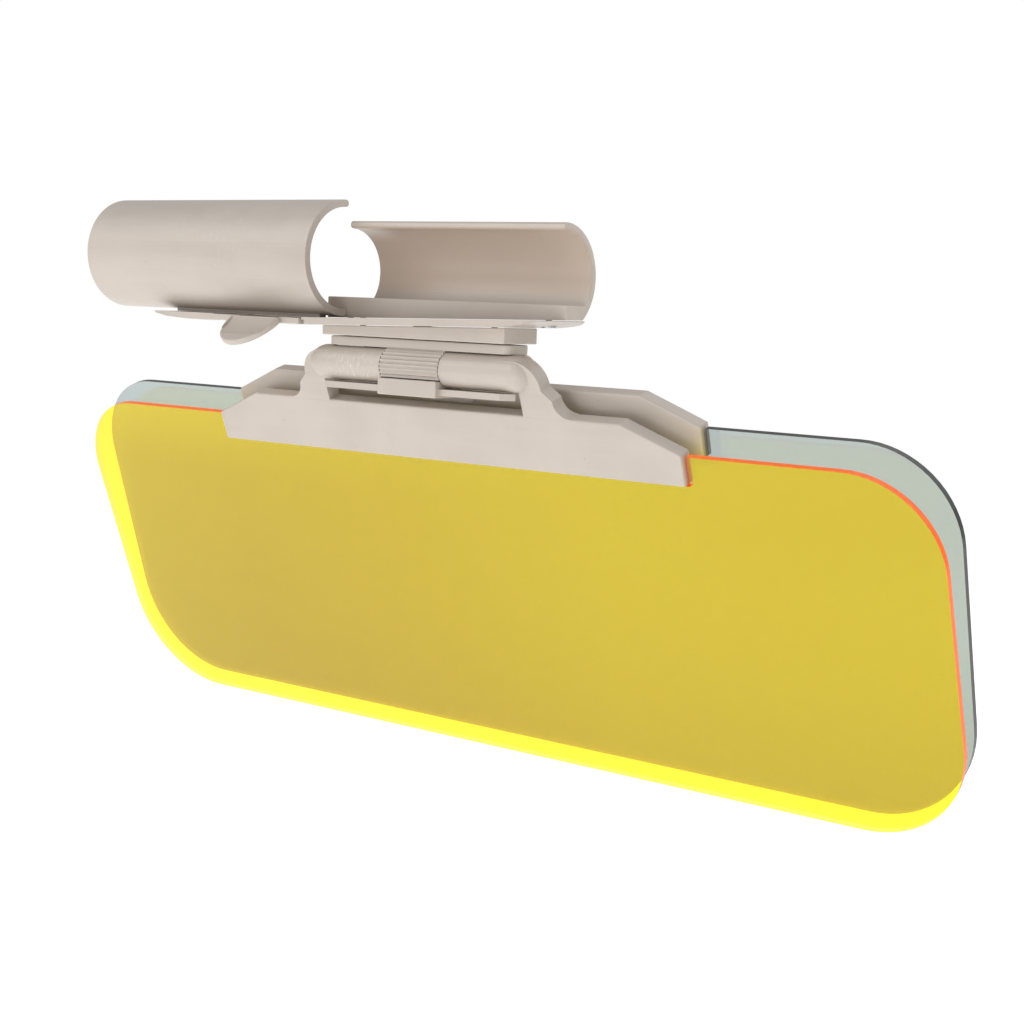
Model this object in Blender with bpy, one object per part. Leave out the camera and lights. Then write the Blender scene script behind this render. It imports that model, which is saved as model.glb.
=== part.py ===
"""Clip-on sun visor extender: a two-jaw clip, a swivel, and a yellow and a gray lens on hinges.

Lengths below are millimetres, measured from the middle of the front hinge axis: X runs along
the lenses, Y runs away from the driver, Z is up. SEAT is where the part's own origin lies.
"""
import math

import bmesh
import bpy
from mathutils import Matrix, Vector

MM = 0.001
SEAT = Vector((0.0, 8.5, 19.7))
CLEAR = 0.3
RUN = 0.08
ROUND_STEPS = 40

# lenses
LENS_HALF = 160.0
LENS_H = 110.0
LENS_R_TOP = 26.5
LENS_R_LOW = 32.5
LENS_T = 2.0
NOTCH_IN = 84.0
NOTCH_OUT = 88.2
NOTCH_D = 8.7
PEG_X = (-70.0, 0.0, 70.0)
PEG_R = 1.2
PEG_DROP = 4.0

# hinges
PIN_R = 1.6
BARREL_R = 5.2
FRONT_BARREL = 36.4
FRONT_DOME = 5.0
REAR_BARREL = 30.0
REAR_DOME = 1.0
KNUCKLE_HALF = 11.0
FLUTE_R = 5.55
FLUTE_DEPTH = 0.56
FLUTES = 26
FLUTE_STEPS = 6
REAR_Y = 11.0
FRONT_PIN = 35.5
REAR_PIN = 27.5
KEEPER_TOP = -3.4
FRONT_KEEPER_LOW = -8.2
REAR_KEEPER_LOW = -6.4
KEEPER_BAR_Z = (-7.5, -5.6)
KEEPER_SCREW_X = (-5.5, 5.5)
FRONT_TILT = 21.0
REAR_TILT = 17.5
FRONT_DROP = 20.3
REAR_DROP = 12.1
REAR_SHIFT = 1.2

# lens brackets, heights measured from the lens's top edge
BRACKET_HALF = 87.5
BRACKET_T = 4.8
BRACKET_LOW = -8.4
BRACKET_HIGH = 8.7
SHOULDER_X = 69.2
END_TOP = 0.9
ARM_OUT = 44.8
ARM_FOOT = 48.0
ARM_FILLET = 5.0
ARM_CROWN = 8.5
ARM_IN = 37.0
SLOT_T = 2.4
SLOT_DEPTH = 12.0

# clip: base plate, jaws, slider
ROLL = 1.5
BASE_LO = 12.1
BASE_HI = 14.2
BASE_FRONT = -8.5
BASE_BACK = 20.5
BASE_LEFT = -40.0
BASE_RIGHT = 47.5
TONGUE_LO = 10.9
TONGUE_HI = 13.0
TONGUE_LEFT = -106.0
CHANNEL_LEFT = -78.3
JAW_Y = 4.0
REAR_R = 15.1
REAR_Z = 27.4
REAR_X = (-31.0, 48.0)
BLOCK_LEFT = -42.0
BLOCK_FRONT = 5.45
BLOCK_LO = 14.4
FRONT_R = 17.55
FRONT_Z = 31.35
FRONT_X = (-132.0, -34.0)
WALL = 2.2
FOOT_X = (-104.0, -40.8)
FOOT_Y = (0.6, 3.4)
GROOVE_Z = (11.5, 12.4)
JAW_SCREW_X = (-36.6, 38.6)
JAW_SCREW_Y = 10.0
SLIDER_Y = (-9.2, 16.6)
SLIDER_SCREW_X = (-71.5, -45.0)
SLIDER_SCREW_Y = 2.0

# release lever
LEVER_X = (-65.0, -49.0)
LEVER_Y = (-11.3, 7.0)
LEVER_Z = (11.15, 12.7)
TAB_PIN_R = 0.5
TAB_PIN_Y = -4.0
TAB_PIN_Z = 11.9
SPOON_HALF = 10.2
SPOON_LENGTH = 12.4
SPOON_T = 1.9
SPOON_DISH_R = 18.0
SPOON_LEAN = 55.0

# swivel
SWIVEL_Y = 2.9
SOCKET_HALF = 34.4
SOCKET_Y = (-4.9, 10.7)
SOCKET_LO = 8.35
SOCKET_SCREW_X = (-25.0, 25.0)
SPIGOT_R = 4.0
PLATE_HALF = 34.2
PLATE_Y = (-2.5, 8.3)
PLATE_Z = (5.35, 8.05)
PLATE_CORNER = 2.5

BEIGE = (0.58, 0.52, 0.46)
BEIGE_DARK = (0.50, 0.45, 0.39)
STEEL = (0.55, 0.55, 0.56)


def finish(mesh_bm, name, color, rough=0.45, metal=0.0, alpha=1.0):
    """Turns a bmesh in hinge millimetres into a named object with its own material."""
    bmesh.ops.remove_doubles(mesh_bm, verts=mesh_bm.verts, dist=0.0005)
    bmesh.ops.recalc_face_normals(mesh_bm, faces=mesh_bm.faces)
    bmesh.ops.translate(mesh_bm, verts=mesh_bm.verts, vec=-SEAT)
    bmesh.ops.scale(mesh_bm, verts=mesh_bm.verts, vec=(MM, MM, MM))
    mesh = bpy.data.meshes.new(name)
    mesh_bm.to_mesh(mesh)
    mesh_bm.free()
    obj = bpy.data.objects.new(name, mesh)
    bpy.context.scene.collection.objects.link(obj)
    material = bpy.data.materials.new(name)
    material.use_nodes = True
    shader = material.node_tree.nodes["Principled BSDF"]
    shader.inputs["Base Color"].default_value = (*color, 1.0)
    shader.inputs["Roughness"].default_value = rough
    shader.inputs["Metallic"].default_value = metal
    shader.inputs["Alpha"].default_value = alpha
    mesh.materials.append(material)
    mesh.shade_smooth()
    mesh.set_sharp_from_angle(angle=math.radians(35))
    return obj


def prism(outline, axis, low, high):
    """Closed solid: a flat outline swept along axis 'x', 'y' or 'z' from low to high."""
    place = {
        "x": lambda a, b, c: (c, a, b),
        "y": lambda a, b, c: (a, c, b),
        "z": lambda a, b, c: (a, b, c),
    }[axis]
    shape = bmesh.new()
    near = [shape.verts.new(place(a, b, low)) for a, b in outline]
    far = [shape.verts.new(place(a, b, high)) for a, b in outline]
    shape.faces.new(near)
    shape.faces.new(far)
    for index in range(len(outline)):
        after = (index + 1) % len(outline)
        shape.faces.new((near[index], near[after], far[after], far[index]))
    bmesh.ops.recalc_face_normals(shape, faces=shape.faces)
    return shape


def box(x_range, y_range, z_range):
    """Closed rectangular block."""
    (x0, x1), (y0, y1) = x_range, y_range
    return prism([(x0, y0), (x1, y0), (x1, y1), (x0, y1)], "z", *z_range)


def rod(radius, axis, centre, low, high, steps=ROUND_STEPS):
    """Closed cylinder along axis; centre holds the two coordinates across it."""
    turn = 2 * math.pi / steps
    ring = [
        (centre[0] + radius * math.cos(turn * k), centre[1] + radius * math.sin(turn * k))
        for k in range(steps)
    ]
    return prism(ring, axis, low, high)


def arc(centre, radius, start, stop, steps):
    """Points on a circle from start to stop degrees, both ends included."""
    points = []
    for k in range(steps + 1):
        angle = math.radians(start + (stop - start) * k / steps)
        points.append((centre[0] + radius * math.cos(angle), centre[1] + radius * math.sin(angle)))
    return points


def combine(first, second, operation):
    """Exact union or difference of two solids; returns a new bmesh and frees both."""
    objects = []
    for source in (first, second):
        mesh = bpy.data.meshes.new("working")
        source.to_mesh(mesh)
        source.free()
        obj = bpy.data.objects.new("working", mesh)
        bpy.context.scene.collection.objects.link(obj)
        objects.append(obj)
    modifier = objects[0].modifiers.new("join", "BOOLEAN")
    modifier.operation = operation
    modifier.solver = "EXACT"
    modifier.object = objects[1]
    result_mesh = bpy.data.meshes.new_from_object(
        objects[0].evaluated_get(bpy.context.evaluated_depsgraph_get())
    )
    result = bmesh.new()
    result.from_mesh(result_mesh)
    for obj in objects:
        bpy.data.objects.remove(obj)
    return result


def add(first, *others):
    """Union of solids."""
    for other in others:
        first = combine(first, other, "UNION")
    return first


def cut(first, *others):
    """First solid with the others taken away."""
    for other in others:
        first = combine(first, other, "DIFFERENCE")
    return first


def soften(shape, width, angle=40, steps=2):
    """Rounds the edges sharper than angle degrees."""
    edges = [
        edge for edge in shape.edges
        if len(edge.link_faces) == 2 and edge.calc_face_angle(0) > math.radians(angle)
    ]
    bmesh.ops.bevel(
        shape, geom=edges, offset=width, segments=steps, profile=0.5,
        affect="EDGES", clamp_overlap=True,
    )
    return shape


def hang(shape, tilt, pivot_y):
    """Swings a solid built hanging straight down backwards by tilt about its hinge axis."""
    swing = Matrix.Rotation(math.radians(tilt), 4, "X")
    bmesh.ops.transform(shape, matrix=Matrix.Translation((0, pivot_y, 0)) @ swing, verts=shape.verts)
    return shape


def roll(shape):
    """Tips a solid of the clip about the seat point, right-hand end up."""
    turn = Matrix.Rotation(math.radians(-ROLL), 4, "Y")
    pivot = Matrix.Translation((0, 0, SEAT.z))
    bmesh.ops.transform(shape, matrix=pivot @ turn @ pivot.inverted(), verts=shape.verts)
    return shape


def shift(shape, x):
    """Moves a solid along the lens."""
    bmesh.ops.translate(shape, verts=shape.verts, vec=(x, 0, 0))
    return shape


def lens_outline(top):
    """Rounded rectangle with a small notch in the top edge beside each bracket end."""
    low = top - LENS_H + LENS_R_LOW
    high = top - LENS_R_TOP
    right = arc((LENS_HALF - LENS_R_LOW, low), LENS_R_LOW, 270, 360, 16)
    right += arc((LENS_HALF - LENS_R_TOP, high), LENS_R_TOP, 0, 90, 16)
    right += [(NOTCH_OUT, top), (NOTCH_OUT, top - NOTCH_D), (NOTCH_IN, top - NOTCH_D), (NOTCH_IN, top)]
    return right + [(-x, z) for x, z in reversed(right)]


def lens(name, drop, tilt, pivot_y, along, color, alpha):
    """Flat acrylic lens with peg holes in the part held by the bracket."""
    plate = prism(lens_outline(-drop), "y", -LENS_T / 2, LENS_T / 2)
    for x in PEG_X:
        plate = cut(plate, rod(PEG_R + CLEAR, "y", (x, -drop - PEG_DROP), -LENS_T, LENS_T, 24))
    finish(hang(shift(plate, along), tilt, pivot_y), name, color, 0.08, 0.0, alpha)


def lens_pegs(prefix, drop, tilt, pivot_y, along):
    """Short pegs put in from behind that keep the lens in its bracket slot."""
    for x, side in zip(PEG_X, ("left", "middle", "right")):
        peg = rod(PEG_R, "y", (x, -drop - PEG_DROP), -LENS_T / 2 + 0.1, BRACKET_T / 2 - 0.1, 24)
        finish(hang(shift(peg, along), tilt, pivot_y), prefix + "_peg_" + side, BEIGE_DARK, 0.5)


def bracket_body_outline(drop):
    """Lower body of a bracket: long bar with sloping shoulders, in X and Z."""
    low = -drop + BRACKET_LOW
    high = -drop + BRACKET_HIGH
    end = -drop + END_TOP
    right = [(BRACKET_HALF, low), (BRACKET_HALF, end), (SHOULDER_X, high)]
    left = [(-x, z) for x, z in reversed(right)]
    return right + left


def arm_outline(side, drop):
    """One arm of the front bracket: flared foot, sloping flank and a rounded top corner."""
    high = -drop + BRACKET_HIGH
    top = BARREL_R - 0.4
    points = arc((ARM_FOOT + ARM_FILLET, high + ARM_FILLET), ARM_FILLET, 270, 180, 8)
    points += arc((ARM_OUT - ARM_CROWN, top - ARM_CROWN), ARM_CROWN, 0, 90, 10)
    points += [(ARM_IN - 4.0, top), (ARM_IN - 4.0, -3.0), (ARM_IN, -3.0)]
    points += [(ARM_IN, high - 1.0), (ARM_FOOT + ARM_FILLET, high - 1.0)]
    return [(side * x, z) for x, z in points]


def front_bracket():
    """Bracket with tall arms, a window below its hinge barrel and a slot for the yellow lens."""
    half = BRACKET_T / 2
    body = soften(prism(bracket_body_outline(FRONT_DROP), "y", -half, half), 0.5)
    for side in (-1, 1):
        body = add(body, prism(arm_outline(side, FRONT_DROP), "y", -half + 0.05, half - 0.05))
    for side in (-1, 1):
        body = add(body, barrel(side, FRONT_BARREL, FRONT_DOME))
    body = cut(body, rod(PIN_R + RUN, "x", (0, 0), -FRONT_PIN - 0.5, FRONT_PIN + 0.5))
    slot = box(
        (-NOTCH_IN - CLEAR, NOTCH_IN + CLEAR), (-SLOT_T / 2, SLOT_T / 2),
        (-FRONT_DROP - SLOT_DEPTH, -FRONT_DROP + CLEAR),
    )
    body = cut(body, slot)
    for x in PEG_X:
        body = cut(body, rod(PEG_R + 0.1, "y", (x, -FRONT_DROP - PEG_DROP), 0.0, 4.0, 24))
    finish(hang(body, FRONT_TILT, 0.0), "front_bracket", BEIGE)


def barrel(side, out, dome):
    """Hinge barrel to one side of the knuckle, with its outer end domed over by dome."""
    rings = [(KNUCKLE_HALF + CLEAR, BARREL_R)]
    for k in range(9):
        angle = math.pi / 2 * k / 9
        inset = dome * (1 - math.cos(angle)) if dome < BARREL_R / 2 else BARREL_R * (1 - math.cos(angle))
        rings.append((out + dome * math.sin(angle), BARREL_R - inset))
    shape = bmesh.new()
    turn = 2 * math.pi / ROUND_STEPS
    loops = []
    for x, radius in rings:
        ring = [(radius * math.cos(turn * k), radius * math.sin(turn * k)) for k in range(ROUND_STEPS)]
        loops.append([shape.verts.new((side * x, y, z)) for y, z in ring])
    shape.faces.new(loops[0])
    shape.faces.new(loops[-1])
    for first, second in zip(loops, loops[1:]):
        for k in range(ROUND_STEPS):
            after = (k + 1) % ROUND_STEPS
            shape.faces.new((first[k], first[after], second[after], second[k]))
    bmesh.ops.recalc_face_normals(shape, faces=shape.faces)
    return shape


def rear_bracket():
    """Bracket whose hinge barrels lie straight on its body; it holds the gray lens."""
    half = BRACKET_T / 2
    body = shift(soften(prism(bracket_body_outline(REAR_DROP), "y", -half, half), 0.5), REAR_SHIFT)
    for side in (-1, 1):
        body = add(body, barrel(side, REAR_BARREL, REAR_DOME))
        web = sorted((side * (KNUCKLE_HALF + CLEAR + 0.02), side * (REAR_BARREL - 0.1)))
        body = add(body, box(web, (-half + 0.05, half - 0.05), (-7.0, -1.0)))
    body = cut(body, rod(PIN_R + RUN, "x", (0, 0), -REAR_PIN - 0.5, REAR_PIN + 0.5))
    room = KNUCKLE_HALF + CLEAR
    body = cut(body, box((-room, room), (-8.0, 8.0), (-9.6, 6.0)))
    slot = box(
        (-NOTCH_IN - CLEAR, NOTCH_IN + CLEAR), (-SLOT_T / 2, SLOT_T / 2),
        (-REAR_DROP - SLOT_DEPTH, -REAR_DROP + CLEAR),
    )
    body = cut(body, shift(slot, REAR_SHIFT))
    for x in PEG_X:
        hole = rod(PEG_R + 0.1, "y", (x, -REAR_DROP - PEG_DROP), 0.0, 4.0, 24)
        body = cut(body, shift(hole, REAR_SHIFT))
    finish(hang(body, REAR_TILT, REAR_Y), "rear_bracket", BEIGE_DARK)


def hinge_pin(name, y, half):
    """Plain steel hinge pin."""
    pin = soften(rod(PIN_R, "x", (y, 0), -half, half), 0.3, 60, 1)
    finish(pin, name, STEEL, 0.3, 1.0)


def fluted_outline(y):
    """Round outline with axial ridges on the front and top, seen along X."""
    count = FLUTES * FLUTE_STEPS
    points = []
    for k in range(count):
        angle = 2 * math.pi * k / count
        radius = FLUTE_R - FLUTE_DEPTH / 2 * (1 + math.cos(FLUTES * angle))
        points.append((y + radius * math.cos(angle), radius * math.sin(angle)))
    return points


def swivel_plate():
    """Turning plate with a spigot above it and a split knuckle for each hinge below it."""
    outline = []
    for side_x, side_y, start in ((1, 0, -90), (1, 1, 0), (-1, 1, 90), (-1, 0, 180)):
        centre_y = PLATE_Y[1] - PLATE_CORNER if side_y else PLATE_Y[0] + PLATE_CORNER
        outline += arc((side_x * (PLATE_HALF - PLATE_CORNER), centre_y), PLATE_CORNER, start, start + 90, 6)
    plate = soften(prism(outline, "z", *PLATE_Z), 0.35)
    half = KNUCKLE_HALF
    plate = add(plate, box((-half, half), (7.0, 15.9), (PLATE_Z[0] + 0.05, PLATE_Z[1] - 0.05)))
    for y in (0.0, REAR_Y):
        web = box((-half + 0.02, half - 0.02), (y - 2.0, y + 2.5), (0.0, PLATE_Z[0] + 0.7))
        if y == 0.0:
            knuckle = prism(fluted_outline(y), "x", -half, half)
        else:
            knuckle = rod(BARREL_R, "x", (y, 0), -half, half)
        knuckle = cut(knuckle, box((-20, 20), (y - 9, y + 9), (-9, KEEPER_TOP + CLEAR)))
        plate = add(plate, add(knuckle, web))
        plate = cut(plate, rod(PIN_R + RUN, "x", (y, 0), -half - 1, half + 1))
        for x in KEEPER_SCREW_X:
            plate = cut(plate, rod(1.0, "z", (x, y), -6.0, -1.0, 24))
    plate = add(plate, rod(SPIGOT_R, "z", (0, SWIVEL_Y), PLATE_Z[1] - 0.5, 12.0))
    plate = cut(plate, rod(1.5, "z", (0, SWIVEL_Y), 6.6, 13.0, 24))
    finish(plate, "swivel_plate", BEIGE)


def keeper(name, y, low, face, bar):
    """Lower half of a knuckle, screwed up against the hinge pin; bar adds a flat to each side."""
    shape = soften(box((-KNUCKLE_HALF, KNUCKLE_HALF), (y - face, y + 4.6), (low, KEEPER_TOP)), 0.35)
    if bar:
        outline = [(-33.5, y - 4.2), (33.0, y - 4.2), (36.2, y - 1.0), (33.0, y + 2.2), (-33.5, y + 2.2)]
        shape = add(shape, prism(outline, "z", *KEEPER_BAR_Z))
    for x in KEEPER_SCREW_X:
        shape = cut(shape, rod(1.1, "z", (x, y), -10.0, 0.0, 24))
        shape = cut(shape, rod(2.3, "z", (x, y), -10.0, low + 1.4, 24))
    finish(shape, name, BEIGE)


def screw(name, x, y, head_low, head_high, tip, head_r=2.1, shank_r=0.9, head_up=False, tipped=False):
    """Small pan-head screw along Z with a cross recess."""
    head = rod(head_r, "z", (x, y), head_low, head_high, 32)
    inside = head_high - 0.05 if tip > head_high else head_low + 0.05
    shank = rod(shank_r, "z", (x, y), min(inside, tip), max(inside, tip), 20)
    shape = add(head, shank)
    face = head_high if head_up else head_low
    for wide, deep in ((1.5, 0.28), (0.28, 1.5)):
        shape = cut(shape, box((x - wide, x + wide), (y - deep, y + deep), (face - 0.45, face + 0.45)))
    finish(roll(shape) if tipped else shape, name, STEEL, 0.35, 1.0)


def keeper_screws():
    """Two screws under each knuckle."""
    for y, low, place in ((0.0, FRONT_KEEPER_LOW, "front"), (REAR_Y, REAR_KEEPER_LOW, "rear")):
        for x, side in zip(KEEPER_SCREW_X, ("left", "right")):
            screw(place + "_keeper_screw_" + side, x, y, low + 0.1, low + 1.3, -2.1)


def swivel_retainer():
    """Spring washer and screw that hold the swivel spigot up in its socket."""
    washer = rod(6.2, "z", (0, SWIVEL_Y), 12.25, 12.95)
    washer = cut(washer, rod(1.7, "z", (0, SWIVEL_Y), 12.0, 14.0, 24))
    finish(washer, "swivel_washer", STEEL, 0.3, 1.0)
    screw("swivel_screw", 0, SWIVEL_Y, 13.05, 14.1, 7.2, 3.0, 1.35, True)


def base_plate():
    """Flat plate under both jaws, with a tapered tongue and a channel for the slider."""
    corner = 8.0
    main = arc((BASE_RIGHT - corner, BASE_FRONT + corner), corner, -90, 0, 8)
    main += arc((BASE_RIGHT - corner, BASE_BACK - corner), corner, 0, 90, 8)
    main += [(BASE_LEFT, BASE_BACK), (BASE_LEFT, BASE_FRONT)]
    plate = prism(main, "z", BASE_LO, BASE_HI)
    rise = [(34, BASE_LO - 1), (34, BASE_LO), (39, BASE_LO + 0.4), (43, BASE_LO + 1.0), (46, BASE_LO + 1.8)]
    rise += [(60, BASE_LO + 1.9), (60, BASE_LO - 1)]
    plate = cut(plate, prism(rise, "y", -30, 40))
    for x in JAW_SCREW_X:
        plate = cut(plate, rod(1.3, "z", (x, JAW_SCREW_Y), 10, 17, 24))
        plate = cut(plate, rod(2.5, "z", (x, JAW_SCREW_Y), 10, 13.4, 32))
    plate = roll(plate)
    bridge_z = (TONGUE_LO + 0.2, TONGUE_HI - 0.1)
    bridge = box((CHANNEL_LEFT - 1.0, BASE_LEFT + 3), (17.0, BASE_BACK - 0.02), bridge_z)
    taper = [
        (TONGUE_LEFT, TONGUE_HI), (TONGUE_LEFT + 0.6, TONGUE_HI - 0.7), (TONGUE_LEFT + 6, TONGUE_HI - 1.6),
        (TONGUE_LEFT + 16, TONGUE_LO), (CHANNEL_LEFT, TONGUE_LO), (CHANNEL_LEFT, TONGUE_HI),
    ]
    plate = add(plate, bridge, prism(taper, "y", -7.5, BASE_BACK))
    plate = cut(plate, box((CHANNEL_LEFT - 1.4, BASE_LEFT + 1.4), (-12, 16.95), GROOVE_Z))
    slant = [(BASE_LEFT - 1, 10.5), (BASE_LEFT + 2.4, 10.5), (BASE_LEFT - 1, 12.8)]
    plate = cut(plate, prism(slant, "y", -30, -7.4), rod(7.0, "z", (0, SWIVEL_Y), 10, 17))
    for x in SOCKET_SCREW_X:
        plate = cut(plate, rod(1.2, "z", (x, SWIVEL_Y), 10, 14.0, 24))
    finish(plate, "base_plate", BEIGE)


def swivel_socket():
    """Slab under the base plate with the bore the swivel turns in; its top follows the plate."""
    slope = math.tan(math.radians(ROLL))
    left_top, right_top = (BASE_LO - 0.15 + x * slope for x in (-SOCKET_HALF, SOCKET_HALF))
    side = [(-SOCKET_HALF, SOCKET_LO), (SOCKET_HALF, SOCKET_LO)]
    side += [(SOCKET_HALF, right_top), (-SOCKET_HALF, left_top)]
    slab = soften(prism(side, "y", *SOCKET_Y), 0.3)
    slab = cut(slab, rod(SPIGOT_R + RUN, "z", (0, SWIVEL_Y), 5, 15))
    for x in SOCKET_SCREW_X:
        slab = cut(slab, rod(1.1, "z", (x, SWIVEL_Y), 5, 15, 24))
        slab = cut(slab, rod(2.4, "z", (x, SWIVEL_Y), 5, 10.2, 32))
    finish(slab, "swivel_socket", BEIGE)


def base_screws():
    """Screws that hold the rear jaw and the swivel socket to the base plate."""
    for x, side in zip(JAW_SCREW_X, ("left", "right")):
        screw("rear_jaw_screw_" + side, x, JAW_SCREW_Y, 12.2, 13.3, 17.6, tipped=True)
    for x, side in zip(SOCKET_SCREW_X, ("left", "right")):
        screw("socket_screw_" + side, x, SWIVEL_Y, 8.9, 10.1, 13.7)


def lip(y, z, inner, outer, direction, steps=6):
    """Half-round end of a jaw wall at (y, z); direction +1 faces back, -1 faces forward."""
    middle = (inner + outer) / 2
    radius = abs(outer - inner) / 2
    first = 90 if outer > inner else -90
    turn = -direction * first / 90 * 180
    return arc((y, z + middle), radius, first, first + turn, steps)[1:-1]


def rear_jaw():
    """Half tube open to the front, standing on a flat-topped block."""
    inner = REAR_R - WALL
    seat_angle = -math.degrees(math.asin((REAR_Z - SEAT.z) / inner))
    section = arc((JAW_Y, REAR_Z), REAR_R, 90, -58, 36)
    low = BLOCK_LO - 1.6
    section += [(section[-1][0], low), (BLOCK_FRONT, low), (BLOCK_FRONT, SEAT.z)]
    section += arc((JAW_Y, REAR_Z), inner, seat_angle, 90, 30)
    section += lip(JAW_Y, REAR_Z, inner, REAR_R, -1)[::-1]
    shell = prism(section, "x", *REAR_X)
    foot = soften(box((BLOCK_LEFT, REAR_X[0] + 1), (BLOCK_FRONT, 12.0), (low, SEAT.z)), 0.3)
    jaw = cut(add(shell, foot), roll(box((-60, 60), (-30, 40), (5, BLOCK_LO))))
    for x in JAW_SCREW_X:
        jaw = cut(jaw, roll(rod(1.0, "z", (x, JAW_SCREW_Y), 12, 18.0, 24)))
    finish(jaw, "rear_jaw", BEIGE)


def front_jaw_shell():
    """Half tube open to the back with a foot that stands on the slider."""
    inner = FRONT_R - WALL
    section = arc((JAW_Y, FRONT_Z), FRONT_R, 90, 270, 44)
    section += lip(JAW_Y, FRONT_Z, -FRONT_R, -inner, 1)[::-1]
    section += arc((JAW_Y, FRONT_Z), inner, 270, 90, 40)
    section += lip(JAW_Y, FRONT_Z, inner, FRONT_R, 1)[::-1]
    shell = prism(section, "x", *FRONT_X)
    foot = box(FOOT_X, FOOT_Y, (TONGUE_HI + 0.12, 18.5))
    room = rod(inner + 0.6, "x", (JAW_Y, FRONT_Z), -140, -20, 80)
    shell = add(shell, cut(foot, room))
    for x in SLIDER_SCREW_X:
        shell = cut(shell, rod(0.8, "z", (x, SLIDER_SCREW_Y), 9, 15.0, 24))
    finish(shell, "front_jaw_shell", BEIGE)


def jaw_slider():
    """Flat slider under the front jaw, with side tongues and a slot for the release lever."""
    left = CHANNEL_LEFT + CLEAR
    right = BASE_LEFT - CLEAR
    plate = soften(box((left, right), SLIDER_Y, (TONGUE_LO + 0.1, TONGUE_HI - 0.1)), 0.3)
    tongue_z = (GROOVE_Z[0] + 0.15, GROOVE_Z[1] - 0.15)
    tongue = box((left - 1.1, right + 1.1), (SLIDER_Y[0] + 2.0, SLIDER_Y[1] - 0.5), tongue_z)
    plate = add(plate, tongue)
    lever_room = box((LEVER_X[0] - CLEAR, LEVER_X[1] + CLEAR), (-20.0, 7.3), (10, 17))
    plate = cut(plate, lever_room)
    pin_hole = rod(TAB_PIN_R + 0.05, "x", (TAB_PIN_Y, TAB_PIN_Z), LEVER_X[0] - 3.1, LEVER_X[1] + 2.1, 24)
    plate = cut(plate, pin_hole)
    for x in SLIDER_SCREW_X:
        plate = cut(plate, rod(0.9, "z", (x, SLIDER_SCREW_Y), 10, 17, 24))
        plate = cut(plate, rod(1.9, "z", (x, SLIDER_SCREW_Y), 9, 12.0, 32))
    finish(plate, "jaw_slider", BEIGE)
    for x, side in zip(SLIDER_SCREW_X, ("left", "right")):
        screw("slider_screw_" + side, x, SLIDER_SCREW_Y, 11.05, 11.9, 14.6, 1.8, 0.7)


def release_tab():
    """Lever in the slider with a spoon-shaped finger tab hanging down in front."""
    arm = soften(box(LEVER_X, LEVER_Y, LEVER_Z), 0.2)
    spoon = prism(spoon_outline(), "y", -SPOON_T / 2, SPOON_T / 2)
    spoon = soften(spoon, 0.4)
    dish = rod(SPOON_DISH_R, "x", (-SPOON_DISH_R - 0.35, -4.2), -9.0, 9.0, 160)
    spoon = cut(spoon, dish)
    lean = Matrix.Rotation(math.radians(-SPOON_LEAN), 4, "X")
    place = Matrix.Translation((sum(LEVER_X) / 2, LEVER_Y[0] + 0.4, 11.7))
    bmesh.ops.transform(spoon, matrix=place @ lean, verts=spoon.verts)
    lever = add(arm, spoon)
    lever = cut(lever, rod(TAB_PIN_R + RUN, "x", (TAB_PIN_Y, TAB_PIN_Z), -80, -40, 24))
    finish(lever, "release_tab", BEIGE)
    pin = rod(TAB_PIN_R, "x", (TAB_PIN_Y, TAB_PIN_Z), LEVER_X[0] - 2.8, LEVER_X[1] + 1.8, 24)
    finish(pin, "tab_pin", STEEL, 0.3, 1.0)


def spoon_outline():
    """Half-ellipse, wide at the root, in X and Z with its root line on Z = 0."""
    points = [(-10.0, 0.8), (10.0, 0.8)]
    for k in range(21):
        angle = math.pi * k / 20
        points.append((SPOON_HALF * math.cos(angle), -SPOON_LENGTH * math.sin(angle)))
    return points


for item in list(bpy.data.objects):
    bpy.data.objects.remove(item)

base_plate()
rear_jaw()
swivel_socket()
base_screws()
swivel_retainer()
front_jaw_shell()
jaw_slider()
release_tab()
swivel_plate()
keeper("front_keeper_bar", 0.0, FRONT_KEEPER_LOW, 5.9, True)
keeper("rear_keeper", REAR_Y, REAR_KEEPER_LOW, 4.6, False)
keeper_screws()
hinge_pin("front_hinge_pin", 0.0, FRONT_PIN)
hinge_pin("rear_hinge_pin", REAR_Y, REAR_PIN)
front_bracket()
lens("yellow_lens", FRONT_DROP, FRONT_TILT, 0.0, 0.0, (0.75, 0.55, 0.03), 0.6)
lens_pegs("yellow_lens", FRONT_DROP, FRONT_TILT, 0.0, 0.0)
rear_bracket()
lens("gray_lens", REAR_DROP, REAR_TILT, REAR_Y, REAR_SHIFT, (0.42, 0.50, 0.47), 0.6)
lens_pegs("gray_lens", REAR_DROP, REAR_TILT, REAR_Y, REAR_SHIFT)
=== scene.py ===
"""Looks of the clip-on sun visor extender: materials, softened edges, light and camera."""
import math

import bmesh
import bpy
from mathutils import Matrix, Vector

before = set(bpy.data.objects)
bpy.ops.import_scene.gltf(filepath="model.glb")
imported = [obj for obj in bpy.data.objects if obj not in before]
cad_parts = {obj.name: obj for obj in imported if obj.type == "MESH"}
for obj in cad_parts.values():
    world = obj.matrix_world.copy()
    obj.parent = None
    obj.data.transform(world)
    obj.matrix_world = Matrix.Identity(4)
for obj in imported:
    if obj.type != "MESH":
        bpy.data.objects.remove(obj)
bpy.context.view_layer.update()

# lean of the two lens planes, radians
YELLOW_TILT = math.radians(21.0)
GRAY_TILT = math.radians(17.5)

# camera placing, metres, and its focal length, mm
CAMERA_AT = Vector((0.3351, -0.4092, 0.0013))
CAMERA_AHEAD = Vector((-0.5942, 0.7955, -0.1189))
CAMERA_UP = Vector((-0.1013, 0.0726, 0.9922))
CAMERA_LENS = 62.55

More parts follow.
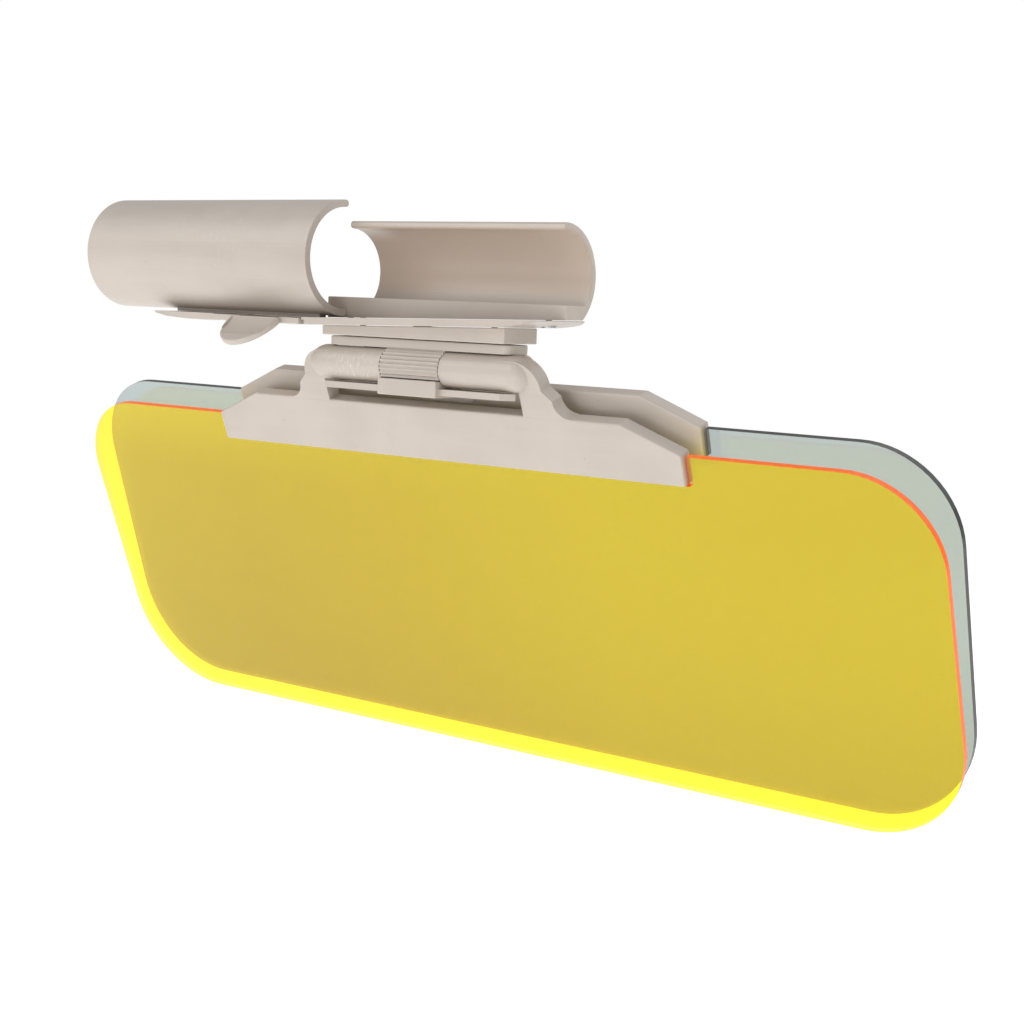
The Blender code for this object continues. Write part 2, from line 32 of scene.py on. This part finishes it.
# plastic colours, linear
BEIGE = (0.510, 0.450, 0.395)
# painted shade: a darker, warmer tone laid on the inner wall of the rear jaw's tube
TUBE_SHADE = (0.500, 0.395, 0.315)
RUBBED = (0.84, 0.81, 0.78)

# rear jaw tube seen along X: its middle and inner radius, and the height band over which the painted shade on
# its inner wall fades in
REAR_TUBE = (0.0, -0.0045, 0.0077)
REAR_INNER = 0.0129
SEAT_FADE = (0.0015, 0.0040)

# rubbed places: middle, reach and strength
SHELL_SCUFF = ((-0.070, -0.025, 0.020), 0.030, 0.12)
BARREL_SCUFF = ((-0.022, -0.0125, -0.017), 0.013, 0.6)

EDGE_WIDTH = 0.0004
FLOOR_Z = -0.30
FLOOR_HALF = 6.0
WORLD_LIGHT = 0.50
LAMPS = (
    ("key", (-0.8, -0.9, 0.8), 0.9, 5.5),
    ("low", (0.1, -0.8, -0.24), 0.5, 1.8),
    ("fill", (1.2, -0.9, 0.4), 1.2, 2.0),
    ("back", (0.3, 1.0, 0.9), 1.4, 6.0),
)
LAMP_AIM = Vector((0.0, 0.0, -0.05))

STEEL_PIECES = (
    "front_hinge_pin", "rear_hinge_pin", "tab_pin", "swivel_washer", "swivel_screw",
    "socket_screw_left", "socket_screw_right", "rear_jaw_screw_left", "rear_jaw_screw_right",
    "slider_screw_left", "slider_screw_right", "front_keeper_screw_left",
    "front_keeper_screw_right", "rear_keeper_screw_left", "rear_keeper_screw_right",
)


class Nodes:
    """Short way to write a material's node tree."""

    def __init__(self, name):
        self.material = bpy.data.materials.new(name)
        self.material.use_nodes = True
        self.tree = self.material.node_tree
        self.tree.nodes.clear()
        self.out = self.tree.nodes.new("ShaderNodeOutputMaterial")

    def add(self, kind, inputs=None, **settings):
        """Adds a node, sets its properties and fills or links its inputs."""
        node = self.tree.nodes.new(kind)
        for key, value in settings.items():
            setattr(node, key, value)
        for key, value in (inputs or {}).items():
            if isinstance(value, bpy.types.NodeSocket):
                self.tree.links.new(value, node.inputs[key])
            else:
                node.inputs[key].default_value = value
        return node

    def noise(self, where, scale, detail=4.0, rough=0.55):
        """Fractal noise factor at a place."""
        inputs = {"Vector": where, "Scale": scale, "Detail": detail, "Roughness": rough}
        return self.add("ShaderNodeTexNoise", inputs).outputs["Fac"]

    def math(self, operation, first, second=0.0):
        """One arithmetic step."""
        return self.add("ShaderNodeMath", {0: first, 1: second}, operation=operation).outputs[0]

    def ramp(self, factor, low, high, bottom=0.0, top=1.0):
        """Maps factor from low..high onto bottom..top, clamped."""
        inputs = {"Value": factor, "From Min": low, "From Max": high, "To Min": bottom, "To Max": top}
        return self.add("ShaderNodeMapRange", inputs, clamp=True).outputs["Result"]

    def mix(self, factor, first, second, blend="MIX"):
        """Mixes two colours; each is a socket or an (r, g, b) tuple."""
        node = self.add("ShaderNodeMix", data_type="RGBA", blend_type=blend)
        for index, value in ((0, factor), (6, first), (7, second)):
            if isinstance(value, bpy.types.NodeSocket):
                self.tree.links.new(value, node.inputs[index])
            elif isinstance(value, tuple):
                node.inputs[index].default_value = (*value, 1.0)
            else:
                node.inputs[index].default_value = value
        return node.outputs[2]

    def finish(self, shader):
        """Links the surface to the output and returns the material."""
        self.tree.links.new(shader, self.out.inputs["Surface"])
        return self.material


def shade(color, factor):
    """A colour made lighter or darker."""
    return tuple(min(1.0, c * factor) for c in color)


def tube_shade_mask(n, place):
    """1 where painted shade lies on the inner wall of the rear jaw's tube, 0 elsewhere."""
    flat = n.add("ShaderNodeVectorMath", {0: place, 1: (0.0, 1.0, 1.0)}, operation="MULTIPLY").outputs[0]
    reach = n.add("ShaderNodeVectorMath", {0: flat, 1: REAR_TUBE}, operation="DISTANCE").outputs["Value"]
    inner = n.ramp(reach, REAR_INNER + 0.0004, REAR_INNER + 0.0010, 1.0, 0.0)
    height = n.add("ShaderNodeSeparateXYZ", {0: place}).outputs["Z"]
    return n.math("MULTIPLY", inner, n.ramp(height, *SEAT_FADE))


def moulded_plastic(name, rough=0.36, scuff=None, painted_tube_shade=False):
    """Satin ABS: slow colour drift, fine grain, faint flow lines, specks, an optional scuff and optional
    painted shade inside the rear jaw's tube.
    """
    n = Nodes(name)
    place = n.add("ShaderNodeTexCoord").outputs["Object"]
    stretched = n.add("ShaderNodeMapping", {"Vector": place, "Scale": (0.12, 1.0, 1.0)}).outputs[0]
    drift = n.noise(place, 38.0, 3.0)
    flow = n.noise(stretched, 260.0, 3.0)
    grain = n.noise(place, 2600.0, 3.0, 0.6)
    smudge = n.ramp(n.noise(place, 95.0, 5.0, 0.65), 0.60, 0.74)
    dust = n.add("ShaderNodeTexVoronoi", {"Vector": place, "Scale": 190.0}, feature="F1")
    speck = n.ramp(dust.outputs["Distance"], 0.035, 0.055, 1.0, 0.0)
    rare = n.math("GREATER_THAN", n.noise(place, 60.0, 2.0), 0.58)
    speck = n.math("MULTIPLY", speck, rare)
    color = n.mix(n.ramp(drift, 0.3, 0.7), shade(BEIGE, 0.95), shade(BEIGE, 1.06))
    color = n.mix(n.ramp(flow, 0.42, 0.66, 0.0, 0.30), color, shade(BEIGE, 1.10))
    # painted shade: a darker, warmer tone on the inner wall of the rear jaw's tube
    if painted_tube_shade:
        color = n.mix(n.math("MULTIPLY", tube_shade_mask(n, place), 0.75), color, TUBE_SHADE)
    color = n.mix(n.math("MULTIPLY", smudge, 0.16), color, shade(BEIGE, 0.74))
    color = n.mix(n.math("MULTIPLY", speck, 0.55), color, shade(BEIGE, 0.42))
    painted_shade = n.math("ADD", drift, n.math("MULTIPLY", grain, 0.35))
    roughness = n.ramp(painted_shade, 0.4, 0.9, rough - 0.05, rough + 0.10)
    if scuff is not None:
        middle, size, strength = scuff
        reach = n.add("ShaderNodeVectorMath", {0: place, 1: middle}, operation="DISTANCE").outputs["Value"]
        near = n.ramp(reach, size * 0.3, size, 1.0, 0.0)
        streak = n.add("ShaderNodeMapping", {"Vector": place, "Scale": (2.2, 0.5, 0.5)}).outputs[0]
        worn = n.ramp(n.noise(streak, 900.0, 4.0, 0.7), 0.56, 0.66)
        worn = n.math("MULTIPLY", worn, near)
        worn = n.math("MULTIPLY", worn, strength)
        color = n.mix(worn, color, RUBBED)
        roughness = n.math("ADD", roughness, n.math("MULTIPLY", worn, 0.25))
    height = n.math("ADD", n.math("MULTIPLY", grain, 0.5), n.math("MULTIPLY", flow, 0.5))
    bump = n.add("ShaderNodeBump", {"Strength": 0.10, "Distance": 0.0002, "Height": height}).outputs["Normal"]
    shader = n.add("ShaderNodeBsdfPrincipled", {
        "Base Color": color,
        "Roughness": roughness,
        "Normal": bump,
        "IOR": 1.5,
        "Coat Weight": 0.12,
        "Coat Roughness": 0.25,
        "Subsurface Weight": 0.0,
    })
    return n.finish(shader.outputs[0])


def plated_steel():
    """Zinc-plated steel with fine turned marks."""
    n = Nodes("plated_steel")
    place = n.add("ShaderNodeTexCoord").outputs["Object"]
    cloud = n.noise(place, 420.0, 3.0)
    fine = n.noise(place, 3000.0, 2.0)
    color = n.mix(n.ramp(cloud, 0.3, 0.7), (0.42, 0.42, 0.43), (0.68, 0.68, 0.69))
    roughness = n.ramp(n.math("ADD", cloud, fine), 0.7, 1.3, 0.22, 0.45)
    bump = n.add("ShaderNodeBump", {"Strength": 0.08, "Distance": 0.0001, "Height": fine}).outputs["Normal"]
    shader = n.add("ShaderNodeBsdfPrincipled", {
        "Base Color": color, "Roughness": roughness, "Metallic": 1.0, "Normal": bump,
    })
    return n.finish(shader.outputs[0])


def tinted_acrylic(name, tilt, film, glow, edge, edge_glow, far_edge, painted_shade=0.0):
    """Clear tinted sheet: film is what white light through it becomes, glow what it scatters.

    Light crosses two faces, so each face takes the square root of film. The cut edges gather the
    sheet's light and show the edge colour; seen from inside, through the sheet, only faintly.
    The last argument paints shade into the film, darkening it slowly towards the lower and left-hand parts of
    the sheet.
    """
    n = Nodes(name)
    coord = n.add("ShaderNodeTexCoord")
    place = coord.outputs["Object"]
    across = (0.0, math.cos(tilt), math.sin(tilt))
    facing = n.add("ShaderNodeVectorMath", {0: coord.outputs["Normal"], 1: across}, operation="DOT_PRODUCT")
    rim = n.ramp(n.math("ABSOLUTE", facing.outputs["Value"]), 0.55, 0.75, 1.0, 0.0)
    mark = n.math("MAXIMUM", dust_specks(n, place), hair_scratches(n, place))
    cloud = n.ramp(n.noise(place, 9.0, 2.0), 0.3, 0.7)
    roughness = n.ramp(n.noise(place, 60.0, 4.0), 0.3, 0.8, 0.03, 0.09)
    through = tuple(c ** 0.5 for c in film)
    # painted shade: the film darkens towards the lower and left-hand parts of the sheet; a faint random tint
    # cloud is added on top
    axes = n.add("ShaderNodeSeparateXYZ", {0: place}).outputs
    down = n.ramp(axes["Z"], -0.045, -0.150)
    left = n.math("MULTIPLY", n.ramp(axes["X"], 0.05, -0.10), n.ramp(axes["Z"], -0.035, -0.060))
    shade_and_cloud = n.math("ADD", n.math("MULTIPLY", down, 0.30), n.math("MULTIPLY", left, 0.16))
    shade_and_cloud = n.math("ADD", n.math("MULTIPLY", shade_and_cloud, painted_shade), n.math("MULTIPLY", cloud, 0.02))
    tint = n.mix(shade_and_cloud, through, shade(through, 0.5))
    see = n.add("ShaderNodeBsdfTransparent", {"Color": tint}).outputs[0]
    gloss = n.add("ShaderNodeBsdfPrincipled", {
        "Base Color": n.mix(cloud, shade(glow, 0.92), shade(glow, 1.06)), "Roughness": roughness, "IOR": 1.49,
    }).outputs[0]
    clear = n.add("ShaderNodeAddShader", {0: see, 1: gloss}).outputs[0]
    worn = n.add("ShaderNodeBsdfPrincipled", {"Base Color": (*shade(edge, 0.35), 1.0), "Roughness": 0.4})
    sheet = n.add("ShaderNodeMixShader", {0: n.math("MULTIPLY", mark, 0.45), 1: clear, 2: worn.outputs[0]})
    cut_tone = n.mix(n.ramp(n.noise(place, 700.0, 3.0), 0.35, 0.65), shade(edge, 0.7), edge)
    cut = n.add("ShaderNodeBsdfPrincipled", {
        "Base Color": cut_tone, "Roughness": 0.35, "IOR": 1.49,
        "Emission Color": (*edge, 1.0), "Emission Strength": edge_glow,
    }).outputs[0]
    open_back = n.add("ShaderNodeBsdfTransparent", {"Color": (1.0, 1.0, 1.0, 1.0)}).outputs[0]
    back = n.add("ShaderNodeMixShader", {0: far_edge, 1: open_back, 2: cut}).outputs[0]
    behind = n.add("ShaderNodeNewGeometry").outputs["Backfacing"]
    cut = n.add("ShaderNodeMixShader", {0: behind, 1: cut, 2: back}).outputs[0]
    whole = n.add("ShaderNodeMixShader", {0: rim, 1: sheet.outputs[0], 2: cut}).outputs[0]
    return n.finish(whole)


def dust_specks(n, place):
    """1 on sparse fine dust specks."""
    dust = n.add("ShaderNodeTexVoronoi", {"Vector": place, "Scale": 150.0}, feature="F1")
    speck = n.ramp(dust.outputs["Distance"], 0.025, 0.045, 1.0, 0.0)
    return n.math("MULTIPLY", speck, n.math("GREATER_THAN", n.noise(place, 45.0, 2.0), 0.60))


def hair_scratches(n, place):
    """1 on sparse short curved hairline scratches."""
    bent = n.add("ShaderNodeMapping", {"Vector": place, "Rotation": (0.3, 0.5, 0.7)}).outputs[0]
    hair = n.add("ShaderNodeTexNoise", {"Vector": bent, "Scale": 30.0, "Detail": 1.0, "Distortion": 2.5})
    middle = n.math("ABSOLUTE", n.math("SUBTRACT", hair.outputs["Fac"], 0.5))
    line = n.ramp(middle, 0.0004, 0.0012, 1.0, 0.0)
    return n.math("MULTIPLY", line, n.math("GREATER_THAN", n.noise(place, 26.0, 2.0), 0.66))


def paint(node, material):
    """Puts a material on every slot of a CAD node."""
    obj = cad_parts[node]
    obj.data.materials.clear()
    obj.data.materials.append(material)


def soften(node, width, segments=3):
    """Joins the facets of a CAD node and rounds its sharp edges."""
    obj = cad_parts[node]
    weld = obj.modifiers.new("weld", "WELD")
    weld.merge_threshold = 0.000002
    flat = obj.modifiers.new("flat", "DECIMATE")
    flat.decimate_type = "DISSOLVE"
    flat.angle_limit = math.radians(0.5)
    edge = obj.modifiers.new("edge", "BEVEL")
    edge.width = width
    edge.segments = segments
    edge.limit_method = "ANGLE"
    edge.angle_limit = math.radians(38)
    edge.use_clamp_overlap = True
    edge.harden_normals = True


def dress_frame():
    """Gives every CAD node its material and edge treatment."""
    steel = plated_steel()
    for node in STEEL_PIECES:
        paint(node, steel)
    shell = moulded_plastic("front_shell_plastic", scuff=SHELL_SCUFF)
    # the rear jaw's plastic carries painted shade on its tube's inner wall
    inner = moulded_plastic("rear_shell_plastic", painted_tube_shade=True)
    bracket = moulded_plastic("bracket_plastic", scuff=BARREL_SCUFF)
    plain = moulded_plastic("clip_plastic")
    looks = {
        "front_jaw_shell": shell, "rear_jaw": inner, "front_bracket": bracket, "rear_bracket": bracket,
        "base_plate": plain, "swivel_socket": plain, "swivel_plate": plain, "front_keeper_bar": plain,
        "rear_keeper": plain, "jaw_slider": plain, "release_tab": plain,
    }
    for node, material in looks.items():
        paint(node, material)
    for node in ("base_plate", "front_bracket", "rear_bracket"):
        soften(node, EDGE_WIDTH)
    yellow = tinted_acrylic(
        "yellow_acrylic", YELLOW_TILT, film=(0.90, 0.79, 0.008), glow=(0.060, 0.004, 0.001),
        edge=(1.0, 0.15, 0.006), edge_glow=0.30, far_edge=0.12)
    # the gray sheet gets painted shade towards its lower and left-hand parts
    gray = tinted_acrylic(
        "gray_acrylic", GRAY_TILT, film=(0.43, 0.490, 0.48), glow=(0.004, 0.004, 0.004),
        edge=(0.030, 0.036, 0.030), edge_glow=0.0, far_edge=0.35, painted_shade=1.5)
    paint("yellow_lens", yellow)
    paint("gray_lens", gray)
    for lens in ("yellow_lens", "gray_lens"):
        for side in ("left", "middle", "right"):
            paint(lens + "_peg_" + side, plain)


def make_stage():
    """Pale floor, soft light from three sides and a white surround."""
    mesh = bpy.data.meshes.new("floor")
    shape = bmesh.new()
    bmesh.ops.create_grid(shape, x_segments=1, y_segments=1, size=FLOOR_HALF)
    shape.to_mesh(mesh)
    shape.free()
    floor = bpy.data.objects.new("floor", mesh)
    floor.location = (0.0, 0.0, FLOOR_Z)
    bpy.context.scene.collection.objects.link(floor)
    n = Nodes("floor_paint")
    place = n.add("ShaderNodeTexCoord").outputs["Object"]
    tone = n.mix(n.noise(place, 3.0), (0.90, 0.90, 0.90), (0.93, 0.93, 0.93))
    shader = n.add("ShaderNodeBsdfPrincipled", {
        "Base Color": tone, "Roughness": 0.9,
        "Emission Color": (1.0, 1.0, 1.0, 1.0), "Emission Strength": 0.55,
    })
    mesh.materials.append(n.finish(shader.outputs[0]))
    for name, at, size, power in LAMPS:
        light = bpy.data.lights.new(name, "AREA")
        light.energy = power
        light.size = size
        lamp = bpy.data.objects.new(name, light)
        lamp.location = at
        aim = LAMP_AIM - Vector(at)
        lamp.rotation_euler = aim.to_track_quat("-Z", "Y").to_euler()
        bpy.context.scene.collection.objects.link(lamp)
    world = bpy.data.worlds.new("surround")
    world.use_nodes = True
    tree = world.node_tree
    back = tree.nodes["Background"]
    back.inputs["Color"].default_value = (1.0, 1.0, 1.0, 1.0)
    seen = tree.nodes.new("ShaderNodeLightPath")
    level = tree.nodes.new("ShaderNodeMapRange")
    level.inputs["To Min"].default_value = WORLD_LIGHT
    level.inputs["To Max"].default_value = 1.0
    tree.links.new(seen.outputs["Is Camera Ray"], level.inputs["Value"])
    tree.links.new(level.outputs["Result"], back.inputs["Strength"])
    bpy.context.scene.world = world
    bpy.context.scene.view_settings.view_transform = "Standard"


def make_camera():
    """Camera at the viewing angle: right of the middle, a little above the lens hinge."""
    data = bpy.data.cameras.new("camera")
    data.lens = CAMERA_LENS
    data.sensor_width = 36.0
    data.clip_start = 0.02
    data.clip_end = 30.0
    camera = bpy.data.objects.new("camera", data)
    ahead = CAMERA_AHEAD.normalized()
    right = ahead.cross(CAMERA_UP).normalized()
    up = right.cross(ahead)
    turn = Matrix((right, up, -ahead)).transposed().to_4x4()
    camera.matrix_world = Matrix.Translation(CAMERA_AT) @ turn
    bpy.context.scene.collection.objects.link(camera)
    bpy.context.scene.camera = camera


make_camera()
make_stage()
dress_frame()
